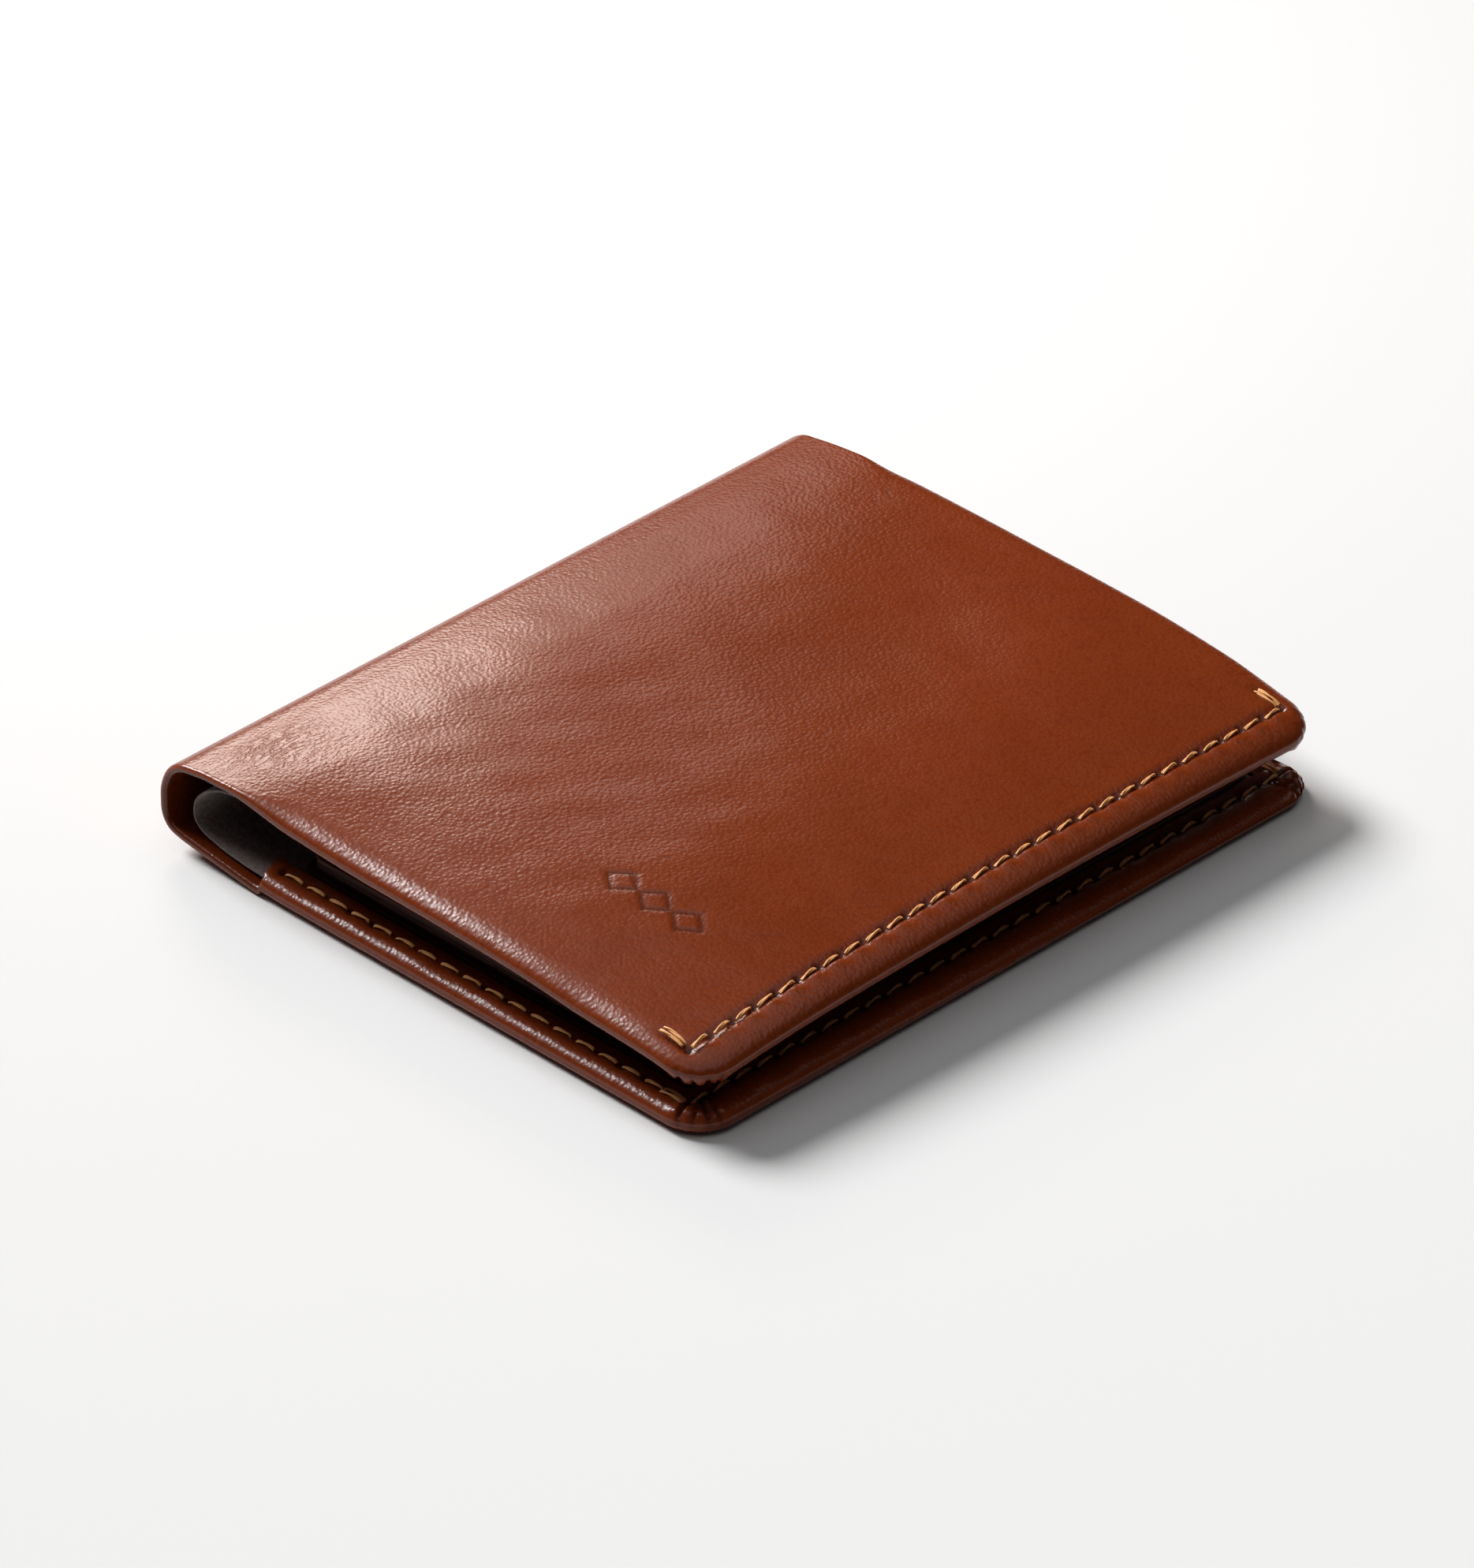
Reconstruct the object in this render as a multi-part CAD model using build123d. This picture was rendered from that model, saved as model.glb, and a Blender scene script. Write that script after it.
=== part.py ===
from build123d import *
from math import atan2, degrees
import os

# Bifold wallet, lying closed on its back cover with the front cover a little ajar.
# X runs from the spine (-X) to the free edge (+X), Y along the spine, Z up.
# The origin is the middle of the closed wallet's footprint, on the surface it lies on.
# The outer leather folds round the spine in three rigid runs (back, spine, front), joined at
# two fold lines, so each layer that crosses the spine is cut at both of them.

# Driving dimensions, mm
WIDTH = 88.0            # spine to free edge, closed
HEIGHT = 102.0          # along the spine
CORNER_R = 5.5          # free-edge corners, in plan
LEATHER = 1.1           # outer leather
HEM_DEPTH = 3.0         # thickness of a cover at its turned edge
HEM_LIP = 0.8           # turned-in leather on the inner face
HEM_WIDTH = 4.6         # turned-in width on the near and far edges
FREE_HEM_WIDTH = 6.4    # turned-in width on the free edge
EDGE_R = 1.4            # rounding of the free edge, in section
HEM_START = 16.5        # the hem begins this far from the spine's outer face
HINGE_GAP = 0.15        # each side of a fold line
THREAD = 0.6            # thread width
THREAD_RISE = 0.3       # thread thickness above its groove
STITCH_PITCH = 3.5
STITCH_LENGTH = 2.6
FREE_SEAM_INSET = 4.4   # stitch line from the free edge
END_INSET = 2.7         # stitch line from the near and far edges
BAR_TACK_LENGTH = 3.8

# Spine section, measured from the spine's outer face (u) and the table (z)
BACK_R = 4.0            # outer radius where the back cover turns into the spine
FRONT_R = 5.0           # outer radius where the spine turns into the front cover
BACK_LIFT = 1.2         # the back cover rises this much beside the spine
FRONT_SHOULDER = 12.2   # top of the spine
BACK_BEND_Z = BACK_LIFT + BACK_R
FRONT_BEND_Z = FRONT_SHOULDER - FRONT_R
BACK_FOLD = (0.8, 2.0)      # fold line between back cover and spine, just outside the leather
FRONT_FOLD = (1.1, 11.1)    # fold line between spine and front cover

# Depths of the layers below a cover's outer skin
LINING = (1.15, 1.35)
DIVIDER = (1.75, 2.15)
PANEL = (2.2, 2.7)
POCKET_LEAF = 0.5
SLOT_GAP = 0.4
STRAP_GAP = 0.6
STRAP = 0.3
SEAM_WALL = 1.6         # stitched-down margin round a pocket

# Pocket layout in plan
POCKET_U = (19.0, 80.5)
PANEL_Y = (5.2, 96.5)
REAR_SLOT_TOP = 84.0
FRONT_SLOT_TOP = 66.0
STRAP_WIDTH = 11.0
STRAP_Y = (20.0, 94.0)
FAR = 400.0             # larger than the wallet

X_SPINE = -WIDTH / 2
Y_NEAR = -HEIGHT / 2


def back_skin():
    """Outer skin of the back cover: rises a little beside the spine, then flat on the table."""
    rise = Spline((BACK_R, BACK_LIFT), (20, 0), tangents=((1, -0.1), (1, 0)))
    return Curve() + [rise, Line((20, 0), (WIDTH, 0))]


def front_skin():
    """Outer skin of the front cover: a low arch that comes down towards the free edge."""
    points = [(FRONT_R, FRONT_SHOULDER), (30, 13.95), (60, 13.3), (WIDTH, 9.8)]
    return Curve() + [Spline(*points, tangents=((1, 0.15), (1, -0.2)))]


SKINS = {"back": (back_skin(), 1), "front": (front_skin(), -1)}


def layer(cover, depths, u_span):
    """Section face between two depths under a cover's skin, from u_span[0] to u_span[1]."""
    skin, side = SKINS[cover]
    first = Pos(0, side * depths[0]) * skin
    second = Pos(0, side * depths[1]) * skin
    ends = [Line(first @ 0, second @ 0), Line(first @ 1, second @ 1)]
    face = make_face(first.edges() + second.edges() + ends)
    keep = Pos(sum(u_span) / 2, 0) * Rectangle(u_span[1] - u_span[0], FAR)
    return face & keep


def skin_height(cover, u):
    """Height of a cover's outer skin at u, and its slope there in degrees."""
    skin, _ = SKINS[cover]
    cut = [skin.intersect(Line((x, -FAR), (x, FAR))) for x in (u - 0.2, u + 0.2)]
    low, high = [next(iter(c.vertices() if hasattr(c, "vertices") else c)) for c in cut]
    return (low.Y + high.Y) / 2, degrees(atan2(high.Y - low.Y, high.X - low.X))


def sweep_y(face, y_span):
    """A section face carried along Y, placed in the wallet's frame."""
    solid = extrude(Plane.XZ * face, amount=y_span[1] - y_span[0], dir=(0, 1, 0))
    return Pos(X_SPINE, Y_NEAR + y_span[0], 0) * solid


def plan_outline():
    """Plan of the closed wallet: square at the spine, rounded at the free edge."""
    plan = Rectangle(WIDTH, HEIGHT)
    corners = plan.vertices().filter_by_position(Axis.X, WIDTH / 2 - 1, WIDTH / 2 + 1)
    return Pos(0, 0, -FAR / 2) * extrude(fillet(corners, CORNER_R), amount=FAR)


OUTLINE = plan_outline()


def fold_regions():
    """Section areas of the back, the spine and the front, meeting where the fold planes cross."""
    (bu, bz), (fu, fz) = BACK_FOLD, FRONT_FOLD
    meet_u = ((fz + fu) - (bz - bu)) / 2
    meet = (meet_u, bz - bu + meet_u)
    low, high = (meet[0] - FAR, meet[1] - FAR), (meet[0] - FAR, meet[1] + FAR)
    areas = {
        "back": Polyline(meet, low, (FAR, low[1]), (FAR, meet[1]), close=True),
        "spine": Polyline(meet, high, low, close=True),
        "front": Polyline(meet, (FAR, meet[1]), (FAR, high[1]), high, close=True),
    }
    return {name: offset(make_face(edge), -HINGE_GAP) for name, edge in areas.items()}


REGIONS = fold_regions()


def spine_band(depth_out, depth_in):
    """Section of the outer leather round the spine, between two depths under its skin."""
    def bend(depth):
        back_r, front_r = BACK_R - depth, FRONT_R - depth
        return [
            CenterArc((BACK_R, BACK_BEND_Z), back_r, 180, 90),
            Line((depth, BACK_BEND_Z), (depth, FRONT_BEND_Z)),
            CenterArc((FRONT_R, FRONT_BEND_Z), front_r, 90, 90),
        ]
    ends = [
        Line((BACK_R, BACK_LIFT + depth_out), (BACK_R, BACK_LIFT + depth_in)),
        Line((FRONT_R, FRONT_SHOULDER - depth_out), (FRONT_R, FRONT_SHOULDER - depth_in)),
    ]
    return make_face(Curve() + bend(depth_out) + bend(depth_in) + ends)


def leather_section():
    """Outer leather in section, one run from free edge to free edge round the spine."""
    back = layer("back", (0, LEATHER), (BACK_R, WIDTH))
    front = layer("front", (0, LEATHER), (FRONT_R, WIDTH))
    return back + spine_band(0, LEATHER) + front


def free_edge(cover):
    """Section that rounds the free edge of a cover through its whole thickness."""
    face = layer(cover, (0, HEM_DEPTH), (HEM_START, WIDTH))
    tips = face.vertices().filter_by_position(Axis.X, WIDTH - 0.1, WIDTH + 0.1)
    return fillet(tips, EDGE_R)


def groove(cover, depths, centre, size):
    """A shallow channel in a cover's leather that a seam's thread sinks into."""
    u, v = centre
    width, length = size
    channel = layer(cover, depths, (u - width / 2, u + width / 2))
    return sweep_y(channel, (v - length / 2, v + length / 2))


def seam_channels(cover):
    """Every groove of a cover: along the free edge on both faces, and along the near edge."""
    seam_u = WIDTH - FREE_SEAM_INSET
    run = HEIGHT - 2 * END_INSET + 1.2
    width = THREAD + 0.3
    outer, inner = (0, THREAD_RISE + 0.05), (HEM_DEPTH - THREAD_RISE - 0.05, HEM_DEPTH)
    cuts = [groove(cover, face, (seam_u, HEIGHT / 2), (width, run)) for face in (outer, inner)]
    near_run = seam_u - HEM_START
    cuts.append(groove(cover, inner, (HEM_START + near_run / 2, END_INSET), (near_run, width)))
    for v in (END_INSET, HEIGHT - END_INSET):
        tack_u = seam_u - BAR_TACK_LENGTH / 2
        size = (BAR_TACK_LENGTH + 1.2, 2 * THREAD + 0.3)
        cuts += [groove(cover, face, (tack_u, v), size) for face in (outer, inner)]
    return cuts


def outer_leather(cover):
    """Outer leather of one cover with its turned edges: lips over the near and free edges,
    which hold the inner layers, and a plain double edge at the open note mouth."""
    full = (0, HEIGHT)
    sheet = sweep_y(leather_section() & REGIONS[cover], full)
    block = sweep_y(free_edge(cover), full)
    sewn_u = WIDTH - FREE_SEAM_INSET + 1
    under_lip = layer(cover, (LEATHER, HEM_DEPTH - HEM_LIP), (HEM_START - 1, sewn_u))
    window_u = (HEM_START - 1, WIDTH - FREE_HEM_WIDTH)
    window = layer(cover, (LEATHER, HEM_DEPTH + 1), window_u)
    block -= sweep_y(under_lip, (LEATHER, HEIGHT + 1))
    block -= sweep_y(window, (HEM_WIDTH, HEIGHT + 1))
    mouth = layer(cover, (LEATHER - 0.2, DIVIDER[0] - 0.1), (HEM_START, WIDTH - 1.5))
    solid = sheet + block + sweep_y(mouth, (HEIGHT - HEM_WIDTH, HEIGHT))
    for cut in seam_channels(cover):
        solid -= cut
    return solid & OUTLINE


def note_divider(part):
    """Grey sheet between the notes and the pockets. It crosses the spine in a free loop."""
    loop_out = Spline((12.5, 11.15), (5.3, 8.3), (4.3, 5.7), (6.5, 3.05), (12.5, 2.15),
                      tangents=((-1, -0.02), (1, -0.05)))
    loop_in = Spline((12.5, 10.75), (5.75, 8.1), (4.75, 5.75), (6.75, 3.4), (12.5, 2.55),
                     tangents=((-1, -0.02), (1, -0.05)))
    ends = [Line(loop_out @ 0, loop_in @ 0), Line(loop_out @ 1, loop_in @ 1)]
    loop = make_face(Curve() + [loop_out, loop_in] + ends)
    if part == "spine":
        return sweep_y(loop & REGIONS[part], (1.3, PANEL_Y[1]))
    sheet = layer(part, DIVIDER, (12.4, WIDTH - FREE_SEAM_INSET + 0.7))
    return sweep_y((loop & REGIONS[part]) + sheet, (1.3, PANEL_Y[1]))


def note_lining(cover):
    """Thin grey cloth bonded to the inside of the outer leather."""
    return sweep_y(layer(cover, LINING, (HEM_START + 1.5, 80.5)), (2.5, HEIGHT - HEM_WIDTH - 0.5))


def inner_panel(cover):
    """Leather base that the pockets are sewn to, inside the turned edges."""
    return sweep_y(layer(cover, PANEL, (POCKET_U[0] - 1, WIDTH - FREE_HEM_WIDTH - 0.3)), PANEL_Y)


def pocket(cover, floor, gap, top):
    """A pocket leaf, sewn down at both sides and the bottom and open at its top."""
    low = floor
    walls = layer(cover, (low, low + gap + POCKET_LEAF), POCKET_U)
    inside = layer(cover, (low - 1, low + gap), (POCKET_U[0] + SEAM_WALL, POCKET_U[1] - SEAM_WALL))
    bottom = PANEL_Y[0] + 0.5
    return sweep_y(walls, (bottom, top)) - sweep_y(inside, (bottom + SEAM_WALL, top + 1))


def stitch(cover, depth, u, v, along, width=THREAD, length=STITCH_LENGTH):
    """One stitch lying in its groove. depth is the side of the thread nearest the skin."""
    z, slope = skin_height(cover, u)
    side = SKINS[cover][1]
    size = (length, width) if along == "x" else (width, length)
    bead = Box(*size, THREAD_RISE)
    middle = z + side * (depth + THREAD_RISE / 2)
    return Pos(X_SPINE + u, Y_NEAR + v, middle) * Rot(0, -slope, 0) * bead


def seam(cover, face, along):
    """The visible stitches of one seam, on a cover's outer or inner face."""
    depth = 0.04 if face == "outer" else HEM_DEPTH - THREAD_RISE - 0.04
    if along == "y":
        run = HEIGHT - 2 * END_INSET
        places = [(WIDTH - FREE_SEAM_INSET, END_INSET + s) for s in spread(run)]
    else:
        run = WIDTH - FREE_SEAM_INSET - HEM_START - BAR_TACK_LENGTH - 2.4
        places = [(HEM_START + 1 + s, END_INSET) for s in spread(run)]
    return [stitch(cover, depth, u, v, along) for u, v in places]


def spread(run):
    """Middles of evenly spaced stitches over a run."""
    count = round(run / STITCH_PITCH)
    return [run * (k + 0.5) / count for k in range(count)]


def bar_tacks(cover):
    """Doubled end stitches at both ends of the free-edge seam, on both faces."""
    tacks = []
    for depth in (0.04, HEM_DEPTH - THREAD_RISE - 0.04):
        for v in (END_INSET, HEIGHT - END_INSET):
            u = WIDTH - FREE_SEAM_INSET - THREAD - BAR_TACK_LENGTH / 2
            tacks.append(stitch(cover, depth, u, v, "x", 2 * THREAD, BAR_TACK_LENGTH))
    return tacks


def strap_section():
    """Section of the pull strap inside its pocket, clear of the panel and the leaf."""
    middle = sum(POCKET_U) / 2
    clearance = (STRAP_GAP - STRAP) / 2
    depths = (PANEL[1] + clearance, PANEL[1] + clearance + STRAP)
    return layer("back", depths, (middle - STRAP_WIDTH / 2, middle + STRAP_WIDTH / 2))


def pull_strap():
    """Flat ribbon that slides up out of the rear pocket and lifts the cards."""
    return sweep_y(strap_section(), STRAP_Y)


def pull_grip():
    """Folded leather end of the strap that the fingers hold."""
    middle = sum(POCKET_U) / 2
    half = STRAP_WIDTH / 2 + 1
    depths = (PANEL[1] + 0.05, PANEL[1] + STRAP_GAP + 0.4)
    section = layer("back", depths, (middle - half, middle + half))
    grip = sweep_y(section, (REAR_SLOT_TOP + 1.5, STRAP_Y[1] + 1))
    corners = grip.edges().filter_by(Axis.Z).group_by(Axis.Y)[-1]
    return fillet(corners, 2.5) - pull_strap()


def build():
    nodes = {}
    for part in ("back", "spine", "front"):
        nodes[f"note_divider_{part}"] = note_divider(part)
    nodes["outer_leather_spine"] = sweep_y(leather_section() & REGIONS["spine"], (0, HEIGHT))
    nodes["pull_strap"] = pull_strap()
    nodes["pull_grip"] = pull_grip()
    for cover in ("back", "front"):
        gap = STRAP_GAP if cover == "back" else SLOT_GAP
        rear_face = PANEL[1] + gap + POCKET_LEAF
        nodes[f"outer_leather_{cover}"] = outer_leather(cover)
        nodes[f"note_lining_{cover}"] = note_lining(cover)
        nodes[f"inner_panel_{cover}"] = inner_panel(cover)
        nodes[f"rear_pocket_{cover}"] = pocket(cover, PANEL[1], gap, REAR_SLOT_TOP)
        nodes[f"front_pocket_{cover}"] = pocket(cover, rear_face, SLOT_GAP, FRONT_SLOT_TOP)
        nodes[f"free_edge_seam_outer_{cover}"] = Compound(children=seam(cover, "outer", "y"))
        nodes[f"free_edge_seam_inner_{cover}"] = Compound(children=seam(cover, "inner", "y"))
        nodes[f"near_edge_seam_{cover}"] = Compound(children=seam(cover, "inner", "x"))
        nodes[f"corner_bar_tacks_{cover}"] = Compound(children=bar_tacks(cover))
    return nodes


os.makedirs("parts", exist_ok=True)
for name, shape in build().items():
    export_step(shape, f"parts/{name}.step")
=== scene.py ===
import math
import bmesh
import bpy
import numpy as np
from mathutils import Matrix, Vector


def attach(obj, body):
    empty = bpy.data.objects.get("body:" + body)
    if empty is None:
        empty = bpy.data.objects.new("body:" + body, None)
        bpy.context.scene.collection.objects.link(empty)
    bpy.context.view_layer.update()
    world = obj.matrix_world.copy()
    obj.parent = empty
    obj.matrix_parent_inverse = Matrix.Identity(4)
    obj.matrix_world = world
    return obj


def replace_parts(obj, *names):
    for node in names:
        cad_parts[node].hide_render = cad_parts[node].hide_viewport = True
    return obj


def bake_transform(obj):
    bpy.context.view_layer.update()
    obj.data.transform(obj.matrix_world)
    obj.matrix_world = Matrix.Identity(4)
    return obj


# Looks of the bifold wallet. Lengths are in millimetres until a mesh is made, then metres.
# u runs from the spine to the free edge, v from the sewn near edge to the open far edge, and
# depth goes inwards from a cover's outer skin. The row frame's origin is mid-footprint.

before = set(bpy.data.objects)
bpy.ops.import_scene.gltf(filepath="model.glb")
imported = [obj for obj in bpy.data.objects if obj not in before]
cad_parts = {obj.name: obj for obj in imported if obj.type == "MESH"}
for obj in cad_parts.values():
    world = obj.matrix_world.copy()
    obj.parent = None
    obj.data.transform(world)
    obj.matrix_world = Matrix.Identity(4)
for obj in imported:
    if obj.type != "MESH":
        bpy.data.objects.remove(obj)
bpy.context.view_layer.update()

MM = 0.001
WIDTH, HEIGHT = 88.0, 102.0
LEATHER, HEM_DEPTH = 1.1, 3.0
HEM_START, HEM_WIDTH, FREE_HEM_WIDTH = 16.5, 4.6, 6.4
MOUTH_HEM = 0.5
CORNER = 5.5
SEAM_U, END_INSET = WIDTH - 4.4, 2.7
STITCH_COUNT, NEAR_STITCH_COUNT = 28, 17
PITCH = (HEIGHT - 2 * END_INSET) / STITCH_COUNT
TACK_U = (79.5, 82.9)
NEAR_SEAM_U = (HEM_START + 1.4, 80.0)
THREAD_R = 0.22
STITCH_LENGTH, HOLE_R, CHANNEL_WIDTH = 2.6, 0.32, 0.7
FREE_SLANT, NEAR_SLANT = -0.2, 0.08
SURFACE_SEAM = {"front": 0.12, "back": 0.4}      # thread depth on the outer face, clear of the table
MARK_CENTRE, MARK_PITCH, MARK_HALF = (63.3, 17.6), 5.2, (2.3, 1.9)
MARK_LINE, MARK_PRESS = 0.36, 0.13
FREE_BOW, PILLOW_DROP, PILLOW_WIDTH = 1.5, 1.7, 22

# Each rounded edge of the leather: how far the outer face turns in and over what width, then the
# same for the inner face.
CUT_EDGE = (0.5, 0.5, 0.5, 0.5)
MOUTH_EDGE = (0.75, 2.2, 0.6, 0.8)
HEM_EDGE = {"front": (1.3, 3.4, 1.5, 2.4), "back": (1.2, 2.6, 1.4, 2.9)}

# Gathers round a corner: angle (radians), half width and share of the full depth.
GATHERS = ((0.3, 0.28, 0.8), (0.62, 0.4, 1.0), (0.9, 0.26, 0.7), (1.22, 0.34, 0.9))


# ---------- small curves and masks ----------

def step(low, high, x):
    """0 below low, 1 above high, and a smooth rise between."""
    t = np.clip((x - low) / (high - low), 0, 1)
    return t * t * (3 - 2 * t)


def mix(a, b, share):
    return a + (b - a) * share


def roll(distance, radius):
    """1 at an edge, falling to 0 one radius in, along a quarter circle."""
    t = np.clip(1 - distance / radius, 0, 1)
    return 1 - np.sqrt(np.maximum(1 - t * t, 0))


def bell(x, width):
    return np.exp(-((x / width) ** 2))


def through(knots, values, t):
    """Smooth curve through values at knots, read at t."""
    knots, values = np.asarray(knots, float), np.asarray(values, float)
    slopes = np.gradient(values, knots)
    i = np.clip(np.searchsorted(knots, t) - 1, 0, len(knots) - 2)
    h = knots[i + 1] - knots[i]
    r = (t - knots[i]) / h
    start = (1 + 2 * r) * (1 - r) ** 2 * values[i] + r * (1 - r) ** 2 * h * slopes[i]
    end = r * r * (3 - 2 * r) * values[i + 1] - r * r * (1 - r) * h * slopes[i + 1]
    return start + end


def ripple(u, v, size, seed, waves=14):
    """Random soft undulation, mostly within -1 and 1, with bumps about one size across."""
    rng = np.random.default_rng(seed)
    total = 0.0
    for _ in range(waves):
        angle, phase = rng.uniform(0, 2 * math.pi, 2)
        length = size * rng.uniform(0.7, 1.6)
        across = u * math.cos(angle) + v * math.sin(angle)
        total = total + np.sin(2 * math.pi * across / length + phase)
    return total / math.sqrt(waves)


def lines(*spans):
    """Grid line positions: each span is (start, end, spacing)."""
    found = [np.linspace(a, b, max(1, round((b - a) / gap)) + 1) for a, b, gap in spans]
    return np.unique(np.round(np.concatenate(found), 4))


EDGE = np.array([0, 0.02, 0.07, 0.15, 0.27, 0.43, 0.64, 0.9, 1.2, 1.55, 1.95, 2.4, 2.9, 3.4, 3.9, 4.4, 4.6])


# ---------- plan of a cover ----------

def edge_distance(u, v):
    """Distance in from the outline, which is open at the spine and rounded at two corners."""
    right, end = WIDTH - u, np.minimum(v, HEIGHT - v)
    a, b = CORNER - right, CORNER - end
    in_corner = (a > 0) & (b > 0)
    return np.where(in_corner, CORNER - np.hypot(a, b), np.minimum(right, end))


def drawn_in(a, b):
    """Draws square-grid offsets from a corner's centre in onto arcs: (inside, reach, a, b)."""
    inside = (a > 0) & (b > 0)
    most, least = np.maximum(a, b), np.minimum(a, b)
    angle = np.where(inside, least / np.where(inside, most, 1), 0) * math.pi / 4
    major, minor = most * np.cos(angle), most * np.sin(angle)
    return inside, most, np.where(a >= b, major, minor), np.where(a >= b, minor, major)


def round_corners(u, v):
    """Draws a square grid's two free-edge corners in onto their arcs."""
    low_end = v < HEIGHT / 2
    end = np.where(low_end, v, HEIGHT - v)
    inside, _, a, b = drawn_in(u - (WIDTH - CORNER), CORNER - end)
    u = np.where(inside, WIDTH - CORNER + a, u)
    end = np.where(inside, CORNER - b, end)
    return u, np.where(low_end, end, HEIGHT - end)


def corner_creases(u, v):
    """1 along the gathers where turned leather is drawn round a corner."""
    a, b = u - (WIDTH - CORNER), CORNER - np.minimum(v, HEIGHT - v)
    around, out = np.arctan2(b, a), np.hypot(a, b)
    strength = 0.0
    for place, width, deep in GATHERS:
        bend = place + 0.05 * np.sin(1.3 * out + 7 * place)
        strength = np.maximum(strength, deep * bell((around - bend) * out, width))
    return np.where((a > 0.2) & (b > 0.2), strength * step(0.6, 2.0, out), 0)


def corner_zone(u, v):
    """1 inside the free-edge corners, fading out along the straight edges."""
    a, b = u - (WIDTH - CORNER), CORNER - np.minimum(v, HEIGHT - v)
    return step(-0.5, 1.5, a) * step(-0.5, 1.5, b)


def seam_marks(along, across, first, pitch, count):
    """Channel, needle holes and puckers of a stitch row: (channel, holes, puckers)."""
    last = first + pitch * count
    on = step(first - 0.8, first, along) * (1 - step(last, last + 0.8, along))
    k = np.clip(np.round((along - first) / pitch), 0, count)
    hole = bell(np.hypot(along - first - k * pitch, across), HOLE_R)
    wave = np.cos(2 * math.pi * (along - first) / pitch)
    return bell(across, CHANNEL_WIDTH) * on, hole, wave * on


def mark_depth(u, v):
    """Three stamped lozenges in a row."""
    a, b = MARK_HALF
    deep = 0.0
    for k in (-1, 0, 1):
        inside = 1 - np.abs(u - MARK_CENTRE[0] - k * MARK_PITCH) / a - np.abs(v - MARK_CENTRE[1]) / b
        line = np.abs(inside) * a * b / math.hypot(a, b)
        deep = np.maximum(deep, bell(line, MARK_LINE))
    return deep


# ---------- a cover's skin ----------

class Cover:
    """Outer skin of one cover as a curve from mid-spine to free edge, with what is below it."""

    def __init__(self, name, turn, points):
        self.name, self.turn = name, turn
        x, z = np.array(points, float).T
        chord = np.concatenate([[0], np.cumsum(np.hypot(np.diff(x), np.diff(z)))])
        t = np.arange(0, chord[-1], 0.02)
        self.x, self.z = through(chord, x, t), through(chord, z, t)
        self.s = np.concatenate([[0], np.cumsum(np.hypot(np.diff(self.x), np.diff(self.z)))])
        tx, tz = np.gradient(self.x), np.gradient(self.z)
        size = np.hypot(tx, tz)
        upright = step(8, 13, self.x)
        self.in_x = mix(turn * tz / size, 0, upright)
        self.in_z = mix(-turn * tx / size, -turn, upright)
        self.flat = int(np.searchsorted(self.x, 6.0))

    def s_at(self, u):
        return np.interp(u, self.x[self.flat:], self.s[self.flat:])

    def place(self, s, v, depth):
        """Row-frame position in metres of a point below the skin."""
        x = np.interp(s, self.s, self.x) + np.interp(s, self.s, self.in_x) * depth
        z = np.interp(s, self.s, self.z) + np.interp(s, self.s, self.in_z) * depth
        if self.turn > 0:
            z = z + FREE_BOW * step(40, 84, x) * np.clip(1 - ((v - 58) / 58) ** 2, 0, 1)
        return np.stack([x - WIDTH / 2, v - HEIGHT / 2, z], -1) * MM

    def at(self, u, v, depth):
        u, v = np.asarray(u, float), np.asarray(v, float)
        return self.place(self.s_at(u), v, depth)


FRONT = Cover("front", 1, [
    (0, 6.0), (0, 7.0), (0.5, 9.1), (1.6, 10.9), (3.3, 12.05), (5.9, 12.6), (11, 13.3), (16, 13.7),
    (22, 13.9), (30, 13.96), (42, 13.86), (52, 13.66), (60, 13.3), (68, 12.6), (78, 11.4), (84, 10.5),
    (88.1, 9.8)])
BACK = Cover("back", -1, [
    (0, 6.0), (0, 5.0), (0.45, 3.4), (1.4, 2.35), (3.2, 1.75), (5.5, 1.4), (10.3, 0.8), (15.5, 0.2),
    (20, 0.02), (25, 0), (60, 0), (88.1, 0)])


# ---------- meshes ----------

def new_object(name, verts, faces, material, attributes):
    """A closed, smooth-shaded mesh object. attributes holds one value or vector per vertex."""
    mesh = bpy.data.meshes.new(name)
    mesh.from_pydata(verts.tolist(), [], faces)
    for key, values in attributes.items():
        kind = "FLOAT_VECTOR" if values.ndim == 2 else "FLOAT"
        layer = mesh.attributes.new(key, kind, "POINT")
        field = "vector" if values.ndim == 2 else "value"
        layer.data.foreach_set(field, values.astype(np.float32).ravel())
    shell = bmesh.new()
    shell.from_mesh(mesh)
    bmesh.ops.recalc_face_normals(shell, faces=shell.faces)
    shell.to_mesh(mesh)
    shell.free()
    mesh.polygons.foreach_set("use_smooth", [True] * len(mesh.polygons))
    mesh.set_sharp_from_angle(angle=math.radians(50))
    mesh.materials.append(material)
    obj = bpy.data.objects.new(name, mesh)
    bpy.context.scene.collection.objects.link(obj)
    return obj


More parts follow.
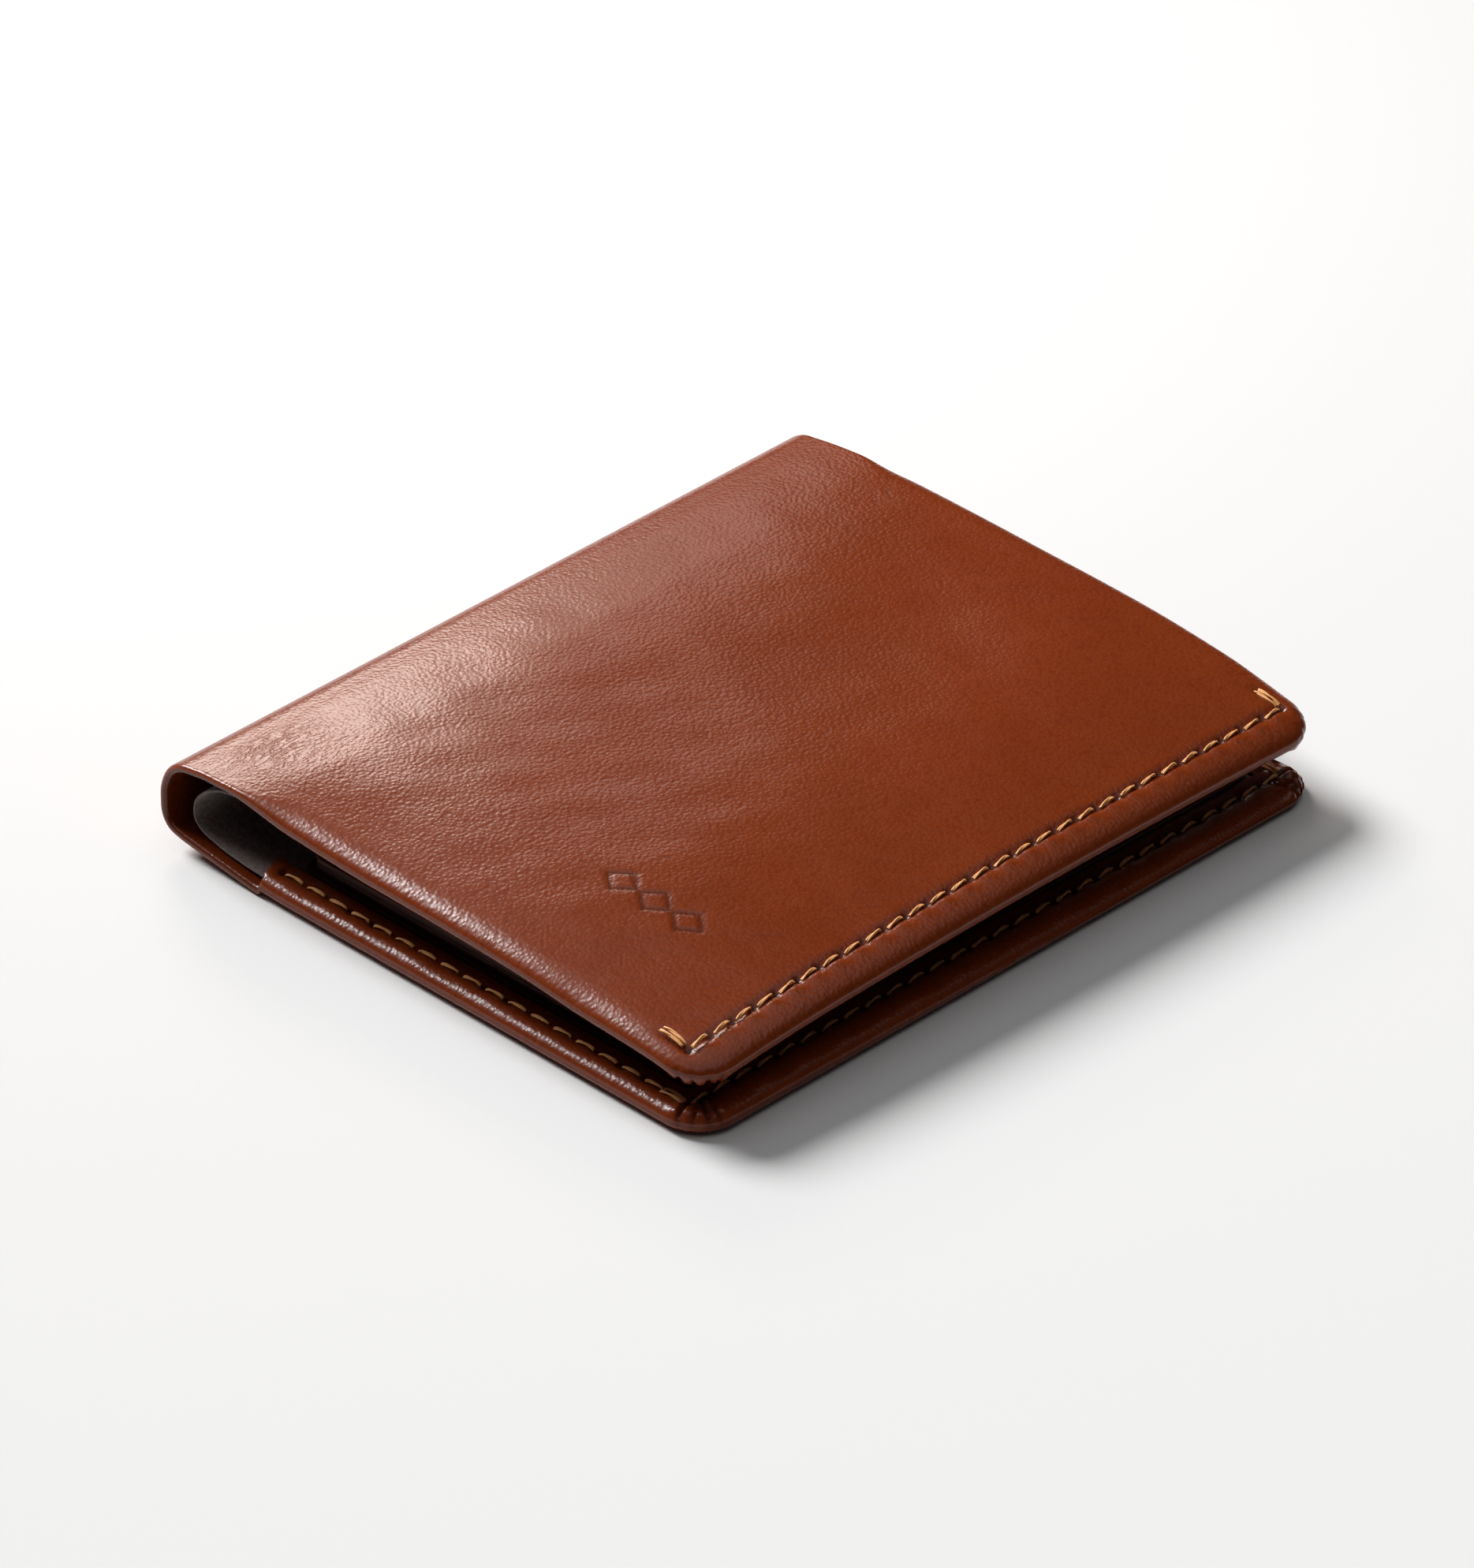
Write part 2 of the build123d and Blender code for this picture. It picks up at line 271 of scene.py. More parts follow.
def slab(name, upper, lower, material, attributes):
    """A closed solid between two grids of points that share their plan."""
    rows, cols = upper.shape[:2]
    index = np.arange(rows * cols).reshape(rows, cols)
    top = np.stack([index[:-1, :-1], index[1:, :-1], index[1:, 1:], index[:-1, 1:]], -1).reshape(-1, 4)
    faces = top.tolist() + (top[:, ::-1] + rows * cols).tolist()
    rim = np.concatenate([index[:-1, 0], index[-1, :-1], index[:0:-1, -1], index[0, :0:-1]])
    for a, b in zip(rim, np.roll(rim, -1)):
        faces.append((int(b), int(a), int(a) + rows * cols, int(b) + rows * cols))
    verts = np.concatenate([upper.reshape(-1, 3), lower.reshape(-1, 3)])
    flat = {}
    for key, (over, under) in attributes.items():
        width = over.shape[2:] or ()
        flat[key] = np.concatenate([over.reshape(-1, *width), under.reshape(-1, *width)])
    return new_object(name, verts, faces, material, flat)


def threads(name, stitches, material, body, cad_node):
    """Two-ply waxed stitches. Each stitch is (start, end, outward) with points in metres."""
    sides, rings, verts, faces, along = 9, 17, [], [], []
    t = np.linspace(0, 1, rings)
    arch = 1 - np.abs(2 * t - 1) ** 3
    ring = np.linspace(0, 2 * math.pi, sides, endpoint=False)
    for number, (start, end, out) in enumerate(stitches):
        start, end, out = (np.array(p, float) for p in (start, end, out))
        way = end - start
        span = np.linalg.norm(way)
        way = way / span
        side = np.cross(way, out)
        turns = 0.45 * span / (STITCH_LENGTH * MM)
        for ply in (0, 1):
            twist = 2 * math.pi * (turns * t + ply / 2) + 0.7 * number
            line = start + np.outer(t, end - start)
            line += np.outer((arch * 0.55 - 0.42) * THREAD_R * MM * 2, out)
            line += np.outer(np.cos(twist) * 0.45 * THREAD_R * MM, side)
            line += np.outer(np.sin(twist) * 0.3 * THREAD_R * MM, out)
            first = len(verts)
            radius = 0.62 * THREAD_R * MM
            for point in line:
                for angle in ring:
                    verts.append(point + radius * (math.cos(angle) * side + math.sin(angle) * out))
            for r in range(rings - 1):
                for k in range(sides):
                    a, b = first + r * sides + k, first + r * sides + (k + 1) % sides
                    faces.append((a, b, b + sides, a + sides))
            faces.append(tuple(first + k for k in reversed(range(sides))))
            faces.append(tuple(first + (rings - 1) * sides + k for k in range(sides)))
            along.extend(np.repeat(t * span / MM + 5.3 * number, sides))
    obj = new_object(name, np.array(verts), faces, material, {"along": np.array(along)})
    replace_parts(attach(obj, body), cad_node)
    return obj


# ---------- materials ----------

def nodes_of(name):
    material = bpy.data.materials.new(name)
    material.use_nodes = True
    tree = material.node_tree
    tree.nodes.clear()
    out = tree.nodes.new("ShaderNodeOutputMaterial")
    shader = tree.nodes.new("ShaderNodeBsdfPrincipled")
    tree.links.new(shader.outputs[0], out.inputs["Surface"])
    return material, tree, shader


def add(tree, kind, inputs=None, **settings):
    """A node with its settings, and its inputs given as values or as sockets to link from."""
    node = tree.nodes.new(kind)
    for key, value in settings.items():
        setattr(node, key, value)
    for key, value in (inputs or {}).items():
        if isinstance(value, bpy.types.NodeSocket):
            tree.links.new(value, node.inputs[key])
        else:
            node.inputs[key].default_value = value
    return node


def math_node(tree, operation, a, b=0.0):
    return add(tree, "ShaderNodeMath", {0: a, 1: b}, operation=operation).outputs[0]


def ramp(tree, value, low, high, to_low=0.0, to_high=1.0):
    inputs = {"Value": value, "From Min": low, "From Max": high, "To Min": to_low, "To Max": to_high}
    return add(tree, "ShaderNodeMapRange", inputs, interpolation_type="SMOOTHSTEP").outputs[0]


def blend_colour(tree, share, a, b, mode="MIX"):
    node = add(tree, "ShaderNodeMix", {0: share}, data_type="RGBA", blend_type=mode)
    for socket, value in ((node.inputs[6], a), (node.inputs[7], b)):
        if isinstance(value, bpy.types.NodeSocket):
            tree.links.new(value, socket)
        else:
            socket.default_value = (*value, 1)
    return node.outputs[2]


def noise(tree, place, scale, detail=3.0, rough=0.55):
    inputs = {"Vector": place, "Scale": scale, "Detail": detail, "Roughness": rough}
    return add(tree, "ShaderNodeTexNoise", inputs).outputs["Fac"]


def leather(name, base, dark, pale, grain=1.0, gloss=0.26):
    """Waxed full-grain leather: pebbled grain, mottled dye, painted shade in seams, holes and other
    recesses, wrinkles where slack.
    """
    material, tree, shader = nodes_of(name)
    place = add(tree, "ShaderNodeAttribute", attribute_name="rest").outputs["Vector"]
    worn = add(tree, "ShaderNodeAttribute", attribute_name="worn").outputs["Fac"]
    crease = add(tree, "ShaderNodeAttribute", attribute_name="crease").outputs["Fac"]
    warp = add(tree, "ShaderNodeTexNoise", {"Vector": place, "Scale": 1.1, "Detail": 2.0}).outputs["Color"]
    shift = add(tree, "ShaderNodeVectorMath", {0: warp, 3: 0.2}, operation="SCALE").outputs[0]
    pores = add(tree, "ShaderNodeVectorMath", {0: place, 1: shift}, operation="ADD").outputs[0]
    cells = add(tree, "ShaderNodeTexVoronoi", {"Vector": pores, "Scale": 2.3, "Randomness": 1.0},
                feature="SMOOTH_F1").outputs["Distance"]
    fine = noise(tree, place, 5.5, 3.0, 0.6)
    broad = noise(tree, place, 0.055, 4.0, 0.6)
    mottle = noise(tree, place, 0.42, 3.0, 0.6)
    pebble = math_node(tree, "SUBTRACT", 1.0, cells)
    height = math_node(tree, "MULTIPLY_ADD", fine, 0.15)
    tree.links.new(pebble, height.node.inputs[2])

    colour = blend_colour(tree, ramp(tree, broad, 0.2, 0.8, 0.55, 1.0), dark, base)
    colour = blend_colour(tree, ramp(tree, mottle, 0.42, 0.78, 0.0, 0.08), colour, pale)
    colour = blend_colour(tree, ramp(tree, cells, 0.35, 0.75, 0.0, 0.55), colour, dark)
    colour = blend_colour(tree, ramp(tree, fine, 0.5, 0.75, 0.0, 0.45), colour, pale)
    colour = blend_colour(tree, math_node(tree, "MULTIPLY", worn, 0.1), colour, pale)
    # Painted shade: a vertex attribute mixes the colour toward near-black in recesses.
    painted_shade_colour = tuple(0.12 * c for c in dark)
    colour = blend_colour(tree, math_node(tree, "MULTIPLY", crease, 0.9), colour, painted_shade_colour)
    tree.links.new(colour, shader.inputs["Base Color"])
    rough = ramp(tree, mottle, 0.25, 0.8, gloss - 0.01, gloss + 0.02)
    tree.links.new(rough, shader.inputs["Roughness"])
    shader.inputs["Specular IOR Level"].default_value = 0.33
    plain = math_node(tree, "SUBTRACT", 1.0, math_node(tree, "MULTIPLY", worn, 0.2))
    strength = math_node(tree, "MULTIPLY", plain, 0.6 * grain)
    bump = add(tree, "ShaderNodeBump", {"Height": height, "Distance": 0.000075, "Strength": strength})
    slack = add(tree, "ShaderNodeAttribute", attribute_name="slack").outputs["Fac"]
    stretched = add(tree, "ShaderNodeMapping", {"Vector": place, "Scale": (0.95, 0.34, 0.4),
                                                "Rotation": (0, 0, 0.6)}).outputs[0]
    folds = noise(tree, stretched, 1.0, 3.0, 0.55)
    ridge = math_node(tree, "ABSOLUTE", math_node(tree, "SUBTRACT", folds, 0.5))
    line = ramp(tree, ridge, 0.0, 0.07)
    wrinkle = add(tree, "ShaderNodeBump", {"Height": line, "Distance": 0.00004, "Strength": slack,
                                           "Normal": bump.outputs[0]})
    tree.links.new(wrinkle.outputs[0], shader.inputs["Normal"])
    return material


def cloth(name, base, dark, threads_per_mm=3.2):
    """Close-woven matte cloth."""
    material, tree, shader = nodes_of(name)
    place = add(tree, "ShaderNodeAttribute", attribute_name="rest").outputs["Vector"]
    split = add(tree, "ShaderNodeSeparateXYZ", {0: place})
    waves = []
    for axis in (0, 1):
        turns = math_node(tree, "MULTIPLY", split.outputs[axis], 2 * math.pi * threads_per_mm)
        waves.append(math_node(tree, "SINE", turns))
    weave = math_node(tree, "MULTIPLY", waves[0], waves[1])
    fluff = noise(tree, place, 1.6, 4.0, 0.7)
    colour = blend_colour(tree, ramp(tree, fluff, 0.3, 0.75), dark, base)
    colour = blend_colour(tree, ramp(tree, weave, -1.0, 1.0, 0.3, 0.0), colour, dark)
    tree.links.new(colour, shader.inputs["Base Color"])
    shader.inputs["Roughness"].default_value = 0.85
    shader.inputs["Sheen Weight"].default_value = 0.25
    shader.inputs["Sheen Roughness"].default_value = 0.5
    height = math_node(tree, "MULTIPLY_ADD", fluff, 1.2)
    tree.links.new(weave, height.node.inputs[2])
    bump = add(tree, "ShaderNodeBump", {"Height": height, "Distance": 0.00005, "Strength": 0.5})
    tree.links.new(bump.outputs[0], shader.inputs["Normal"])
    return material


def waxed_thread(name, base, dark):
    material, tree, shader = nodes_of(name)
    place = add(tree, "ShaderNodeTexCoord").outputs["Object"]
    along = add(tree, "ShaderNodeAttribute", attribute_name="along").outputs["Fac"]
    fibres = noise(tree, place, 9000.0, 3.0, 0.7)
    tint = noise(tree, along, 0.4, 2.0, 0.5)
    colour = blend_colour(tree, ramp(tree, fibres, 0.3, 0.7), dark, base)
    colour = blend_colour(tree, ramp(tree, tint, 0.3, 0.8, 0.0, 0.35), colour, dark)
    tree.links.new(colour, shader.inputs["Base Color"])
    shader.inputs["Roughness"].default_value = 0.5
    shader.inputs["Sheen Weight"].default_value = 0.2
    bump = add(tree, "ShaderNodeBump", {"Height": fibres, "Distance": 0.00002, "Strength": 0.6})
    tree.links.new(bump.outputs[0], shader.inputs["Normal"])
    return material


OUTER = leather("outer_leather", (0.163, 0.025, 0.003), (0.115, 0.014, 0.0013), (0.22, 0.045, 0.01))
# Inner leather: the outer leather's colour darkened, as painted shade inside the wallet.
SHADED_INNER = leather("inner_leather", (0.06, 0.0095, 0.0024), (0.036, 0.005, 0.0012), (0.09, 0.018, 0.006),
                grain=0.8, gloss=0.36)
GREY = cloth("grey_lining", (0.16, 0.115, 0.1), (0.075, 0.05, 0.043))
RIBBON = cloth("brown_ribbon", (0.09, 0.035, 0.018), (0.04, 0.014, 0.008), 2.2)
THREAD = waxed_thread("golden_thread", (0.85, 0.42, 0.13), (0.6, 0.24, 0.055))


# ---------- outer leather ----------

def hem_depth(cover, v):
    """Thickness of the turned and sewn hem. The back cover's gets thinner toward its far end."""
    return HEM_DEPTH - (0.8 * step(5, 90, v) if cover.turn < 0 else 0.0)


def leather_cover(cover, stations, rows_v):
    """One half of the outer leather, from mid-spine over the cover to its turned free edge."""
    grid_s, grid_v = np.meshgrid(stations, rows_v, indexing="ij")
    u = np.interp(grid_s, cover.s, cover.x)
    beyond = grid_s > cover.s_at(60)
    ru, rv = round_corners(u, grid_v)
    u, v = np.where(beyond, ru, u), np.where(beyond, rv, grid_v)
    creases = corner_creases(u, v)
    d = edge_distance(u, v)
    pinch = 0.09 * creases * (1 - step(0, 1.5, d))
    u, v = u - pinch, v + np.where(v < HEIGHT / 2, pinch, -pinch)
    s = np.where(beyond, cover.s_at(u), grid_s)
    in_cover = step(cover.s_at(7), cover.s_at(9), s)

    front = cover.name == "front"
    hem_edge = u - (HEM_START + 0.1 - 0.3 * v)
    hem = (step(-6, 5, hem_edge) if front else step(-0.2, 0.2, hem_edge)) * in_cover
    far = step(HEIGHT - 9, HEIGHT - 5, v)
    mouth = far * (1 - step(WIDTH - 16, WIDTH - 4, u))
    settled = step(13, 22, u) * in_cover if front else hem

    near_lip = hem * (1 - step(HEM_WIDTH - 0.15, HEM_WIDTH, v))
    free_lip = 1 - step(FREE_HEM_WIDTH - 0.15, FREE_HEM_WIDTH, WIDTH - u)
    far_lip = hem * step(HEIGHT - HEM_WIDTH, HEIGHT - HEM_WIDTH + 0.15, v) * (1 - free_lip)
    lip = np.maximum(near_lip, free_lip)
    depth = LEATHER + (hem_depth(cover, v) - LEATHER) * lip + MOUTH_HEM * far_lip

    outer_high, outer_wide, inner_high, inner_wide = (
        mix(mix(cut, turned, share), open_end, mouth * share)
        for cut, turned, open_end, share in zip(CUT_EDGE, HEM_EDGE[cover.name], MOUTH_EDGE,
                                                (settled, settled, hem, hem)))
    pillow = step(2, 36, u) * (1 - 0.6 * step(66, 84, u)) * in_cover * front
    curl = PILLOW_DROP * pillow * np.clip(1 - v / PILLOW_WIDTH, 0, 1) ** 2

    channel, hole, wave = seam_marks(v, u - SEAM_U, END_INSET, PITCH, STITCH_COUNT)
    over = outer_high * roll(d, outer_wide) + curl
    over = over + 0.32 * channel + 0.42 * hole
    over = over + wave * 0.1 * bell(u - SEAM_U - 0.9, 0.7)
    quiet = step(1, 7, d) * step(4, 14, u) * in_cover
    swell = 0.10 * ripple(u, v, 26, 3) + 0.03 * ripple(u, v, 9, 5)
    over = over + quiet * swell * front
    tack = tack_marks(u, v)
    over = over + 0.3 * tack
    mark = mark_depth(u, v) if front else 0 * u
    over = over + MARK_PRESS * mark
    if not front:
        over = np.maximum(over, 0.0)

    near_pitch = (NEAR_SEAM_U[1] - NEAR_SEAM_U[0]) / NEAR_STITCH_COUNT
    n_channel, n_hole, n_wave = seam_marks(u, v - END_INSET, NEAR_SEAM_U[0], near_pitch, NEAR_STITCH_COUNT)
    under = inner_high * roll(d, inner_wide) - curl
    under = under + lip * (0.28 * channel + 0.4 * hole + 0.28 * n_channel + 0.4 * n_hole + 0.28 * tack)
    gathers = step(0.0, 0.6, d) * (1 - step(3.4, 5.0, d)) * corner_zone(u, v)
    under = under + lip * gathers * (0.85 * creases - 0.45)
    under = under + lip * 0.06 * ripple(u, v, 7, 11) * step(0.5, 1.5, d)
    under = under + lip * 0.06 * (wave * bell(u - SEAM_U, 1.6) + n_wave * bell(v - END_INSET, 1.6))

    upper = cover.place(s, v, over)
    lower = cover.place(s, v, np.maximum(depth - under, over + 0.12))
    worn = np.maximum(roll(d, 1.4), 0.35 * roll(np.abs(d - 3.2), 1.2) * hem)
    # Painted shade: darker in the seam channels, needle holes, tack marks, stamped lines and corner gathers,
    # and half dark on the inner face away from the lips.
    painted_shade_over = np.clip(0.25 * channel + hole ** 1.5 + 0.4 * tack + 0.6 * mark, 0, 1)
    painted_shade_under = np.clip(0.5 * (channel + n_channel) + hole + n_hole + 0.6 * creases + 0.5 * (1 - lip), 0, 1)
    rest = np.stack([s, v, np.zeros_like(s)], -1)
    inner_rest = rest + np.array([0.0, 300.0, 7.0])
    slack = bell(u - 9, 6) * bell(v - 9, 7) * step(2.5, 6, s - cover.s_at(7) + 5) if front else 0 * u
    attributes = {"rest": (rest, inner_rest), "worn": (worn, roll(d, 1.0)),
                  "crease": (painted_shade_over, painted_shade_under), "slack": (slack, 0 * u)}
    obj = slab(f"outer_leather_{cover.name}_visual", upper, lower, OUTER, attributes)
    return obj


def tack_marks(u, v):
    """Where the doubled end stitches press into the leather."""
    on = step(TACK_U[0] - 0.5, TACK_U[0], u) * (1 - step(TACK_U[1], TACK_U[1] + 0.5, u))
    return on * (bell(v - END_INSET, 0.6) + bell(HEIGHT - END_INSET - v, 0.6))


ROWS = np.unique(np.concatenate([
    EDGE, HEIGHT - EDGE, lines((4.6, 14.4, 0.42), (14.4, 20.8, 0.26), (20.8, HEIGHT - 4.6, 0.42))]))
ROWS = ROWS[np.concatenate([[True], np.diff(ROWS) > 0.015])]


def stations_of(cover, spans):
    spine = lines((0, cover.s_at(7), 0.5))
    edge = WIDTH - EDGE[EDGE < 3.0]
    plan = np.unique(np.concatenate([lines(*spans), edge]))
    return np.concatenate([spine, cover.s_at(plan)])


front_spans = [(7.6, 15, 0.9), (15, 18.4, 0.28), (18.4, 55, 1.7), (55, 71.6, 0.36), (71.6, 80.4, 0.9),
               (80.4, 85.0, 0.27)]
back_spans = [(7.6, 15, 0.9), (15, 18.4, 0.28), (18.4, 80.4, 1.3), (80.4, 85.0, 0.27)]
cover_front = leather_cover(FRONT, stations_of(FRONT, front_spans), ROWS)
cover_back = leather_cover(BACK, stations_of(BACK, back_spans), ROWS)


def point(u, v, z):
    return ((u - WIDTH / 2) * MM, (v - HEIGHT / 2) * MM, z * MM)


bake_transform(cover_front)
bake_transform(cover_back)
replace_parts(cover_front, "outer_leather_front", "outer_leather_spine")
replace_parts(cover_back, "outer_leather_back")


# ---------- grey note divider and lining ----------

class Loop(Cover):
    """The note divider's own path: out of the spine's fold and along the cover."""


def divider_path(cover, knots):
    along = [(u, float(np.interp(u, cover.x[cover.flat:], cover.z[cover.flat:])) - cover.turn * 1.78)
             for u in (20, 30, 42, 54, 66, 76, 82)]
    return Loop(cover.name, cover.turn, knots + along)


DIVIDER_FRONT = divider_path(FRONT, [(4.3, 5.75), (4.5, 7.0), (5.6, 8.6), (8.6, 10.5), (12.5, 11.3)])
DIVIDER_BACK = divider_path(BACK, [(4.3, 5.75), (4.45, 4.7), (5.3, 3.75), (8.0, 2.75), (12.5, 2.05)])


def sheet_between(name, cover, s_lines, v_lines, depths, material, waviness=0.0, seed=1, ease=0.1):
    """A thin sheet a given depth below a cover's curve, with slightly rounded edges."""
    s, v = np.meshgrid(s_lines, v_lines, indexing="ij")
    d = np.minimum(np.minimum(v - v_lines[0], v_lines[-1] - v), s_lines[-1] - s)
    round_off = ease * roll(d, 2.5 * ease)
    sway = waviness * ripple(s, v, 17, seed) * step(0.5, 4, d)
    upper = cover.place(s, v, depths[0] + sway + round_off)
    lower = cover.place(s, v, depths[1] + sway - round_off)
    rest = np.stack([s, v, np.zeros_like(s)], -1)
    zero = np.zeros_like(s)
    attributes = {"rest": (rest, rest + np.array([0, 200.0, 3.0])), "worn": (zero, zero),
                  "crease": (zero, zero)}
    sheet = slab(name, upper, lower, material, attributes)
    return sheet, s_lines[-1] - s_lines[0], v_lines[-1] - v_lines[0]


divider_rows = np.unique(np.concatenate([lines((1.3, 96.5, 1.2)), 1.3 + np.array([0.05, 0.12, 0.25]),
                                         96.5 - np.array([0.05, 0.12, 0.25])]))
for path, bodies in ((DIVIDER_FRONT, ("spine", "front")), (DIVIDER_BACK, ("back", "spine"))):
    tail = WIDTH - FREE_HEM_WIDTH + 0.3
    s_lines = np.concatenate([lines((0, path.s_at(16), 0.4)), path.s_at(lines((17, tail, 2.0)))])
    divider, long, wide = sheet_between(f"note_divider_{path.name}_visual", path, s_lines, divider_rows,
                                        (0.0, 0.36), GREY, 0.03, 21)
    if path.name == "front":
        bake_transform(divider)
        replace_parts(divider, "note_divider_front", "note_divider_spine")
    else:
        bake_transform(divider)
        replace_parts(divider, "note_divider_back")

for cover in (FRONT, BACK):
    s_lines = cover.s_at(lines((18, 80.5, 2.5)))
    lining, long, wide = sheet_between(f"note_lining_{cover.name}_visual", cover, s_lines,
                                       lines((5.0, 96.9, 3.0)), (1.16, 1.34), GREY, ease=0.05)
    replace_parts(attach(lining, cover.name), f"note_lining_{cover.name}")


# ---------- panels and pockets ----------

POCKET_U, PANEL_V = (19.0, 80.5), (5.2, 96.5)
PANEL = (2.2, 2.7)
REAR_TOP, FRONT_TOP, LEAF, SEAM_WALL = 84.0, 66.0, 0.5, 1.6


def plate(name, cover, u_span, v_span, top_fn, bottom_fn, material, node, body, slot_name="inner_leather",
          corner=2.0):
    """A stiff leather layer over a cover's inner face. top_fn and bottom_fn give depths."""
    near = EDGE[:12]
    u_lines = np.unique(np.concatenate([lines((*u_span, 1.3)), u_span[0] + near, u_span[1] - near]))
    v_lines = np.unique(np.concatenate([lines((*v_span, 0.9)), v_span[0] + near, v_span[1] - near]))
    u, v = np.meshgrid(u_lines, v_lines, indexing="ij")
    mid_u, mid_v = sum(u_span) / 2, sum(v_span) / 2
    a = np.abs(u - mid_u) - (u_span[1] - mid_u - corner)
    b = np.abs(v - mid_v) - (v_span[1] - mid_v - corner)
    inside, reach, arc_a, arc_b = drawn_in(a, b)
    shift_a, shift_b = np.where(inside, arc_a - a, 0), np.where(inside, arc_b - b, 0)
    d = np.where(inside, corner - reach, np.minimum(corner - a, corner - b))
    u, v = u + np.sign(u - mid_u) * shift_a, v + np.sign(v - mid_v) * shift_b
    high, low = top_fn(u, v, d), bottom_fn(u, v, d)
    ease = 0.22 * roll(d, 0.45)
    upper, lower = cover.at(u, v, high - ease), cover.at(u, v, low)
    rest = np.stack([u + 40, v - 150, np.full_like(u, 2.0 * PANEL[0])], -1)
    # Painted shade: dark along the sewn groove 2.2 mm in, and half dark on the underside.
    crease = bell(d - 2.2, 0.3)
    attributes = {"rest": (rest, rest + np.array([9.0, 0, 0])), "worn": (roll(d, 0.8), 0 * d),
                  "crease": (0.8 * crease, 0 * d + 0.5)}
    obj = slab(name, upper, lower, material, attributes)
    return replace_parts(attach(obj, body), node)


def pocket_shape(floor, gap, top):
    """Depths of a pocket leaf: open along its far side, sewn down on the other three."""
    def high(u, v, d):
        open_side = step(top - 26, top, v)
        puff = 0.06 * ripple(u, v, 21, int(top)) * step(2, 6, d)
        return floor + gap + LEAF - 0.12 * bell(d - 2.2, 0.35) + puff * open_side
    def low(u, v, d):
        side = np.minimum(np.minimum(u - POCKET_U[0], POCKET_U[1] - u), v - PANEL_V[0] - 0.5)
        return floor + gap * step(SEAM_WALL - 0.1, SEAM_WALL, side)
    return high, low


for cover in (FRONT, BACK):
    gap = 0.6 if cover.name == "back" else 0.4
    body = cover.name
    plate(f"inner_panel_{body}_visual", cover, (POCKET_U[0] - 1, WIDTH - FREE_HEM_WIDTH - 0.1), PANEL_V,
          lambda u, v, d: PANEL[1] + 0 * u, lambda u, v, d: PANEL[0] + 0 * u, SHADED_INNER,
          f"inner_panel_{body}", body)
    rear = pocket_shape(PANEL[1], gap, REAR_TOP)
    plate(f"rear_pocket_{body}_visual", cover, POCKET_U, (PANEL_V[0] + 0.5, REAR_TOP), *rear, SHADED_INNER,
          f"rear_pocket_{body}", body)
    face = PANEL[1] + gap + LEAF
    slot_front = pocket_shape(face, 0.4, FRONT_TOP)
    plate(f"front_pocket_{body}_visual", cover, POCKET_U, (PANEL_V[0] + 0.5, FRONT_TOP), *slot_front, SHADED_INNER,
          f"front_pocket_{body}", body)

STRAP_WIDTH, STRAP_V = 11.0, (20, 94)
strap_u = (sum(POCKET_U) / 2 - STRAP_WIDTH / 2, sum(POCKET_U) / 2 + STRAP_WIDTH / 2)
strap, _, _ = sheet_between("pull_strap_visual", BACK, BACK.s_at(lines((*strap_u, 0.5))),
                            lines((*STRAP_V, 1.0)), (PANEL[1] + 0.15, PANEL[1] + 0.45), RIBBON, ease=0.06)
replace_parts(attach(strap, "pull_tab"), "pull_strap")
plate("pull_grip_visual", BACK, (strap_u[0] - 1, strap_u[1] + 1), (REAR_TOP + 1.5, 95.0),
      lambda u, v, d: PANEL[1] + 1.0 - 0.1 * bell(d - 1.1, 0.3), lambda u, v, d: PANEL[1] + 0.05 + 0 * u,
      SHADED_INNER, "pull_grip", "pull_tab", corner=2.5)


# ---------- stitches ----------

def seam_points(count, first, pitch, slant):
    """Ends of each stitch along a seam: (along, across) pairs, a little slanted."""
    for k in range(count):
        middle = first + (k + 0.5) * pitch
        yield (middle - STITCH_LENGTH / 2, -slant), (middle + STITCH_LENGTH / 2, slant)


def thread_depth(cover, v, outer):
    return SURFACE_SEAM[cover.name] if outer else hem_depth(cover, v) - 0.1


def out_of(cover, outer):
    return np.array([0, 0, cover.turn if outer else -cover.turn], float)


for cover in (FRONT, BACK):
    body = cover.name
    for face, outer in (("outer", True), ("inner", False)):
        out = out_of(cover, outer)
        seam = [(cover.at(SEAM_U + a[1], a[0], thread_depth(cover, a[0], outer)),
                 cover.at(SEAM_U + b[1], b[0], thread_depth(cover, b[0], outer)), out)
                for a, b in seam_points(STITCH_COUNT, END_INSET, PITCH, FREE_SLANT)]
        node = f"free_edge_seam_{face}_{body}"
        threads(f"{node}_visual", seam, THREAD, body, node)
    near_pitch = (NEAR_SEAM_U[1] - NEAR_SEAM_U[0]) / NEAR_STITCH_COUNT
    out = out_of(cover, False)
    near_depth = HEM_DEPTH - 0.05
    seam = [(cover.at(a[0], END_INSET + a[1], near_depth), cover.at(b[0], END_INSET + b[1], near_depth), out)
            for a, b in seam_points(NEAR_STITCH_COUNT, NEAR_SEAM_U[0], near_pitch, NEAR_SLANT)]
    threads(f"near_edge_seam_{body}_visual", seam, THREAD, body, f"near_edge_seam_{body}")
    tacks = []
    for outer in (True, False):
        for v in (END_INSET, HEIGHT - END_INSET):
            depth = thread_depth(cover, v, outer)
            for shift in (-0.3, 0.3):
                start = cover.at(TACK_U[0], v + shift * 1.1, depth)
                tacks.append((start, cover.at(TACK_U[1], v + shift * 0.9, depth), out_of(cover, outer)))
    threads(f"corner_bar_tacks_{body}_visual", tacks, THREAD, body, f"corner_bar_tacks_{body}")


# ---------- stage, light and camera ----------

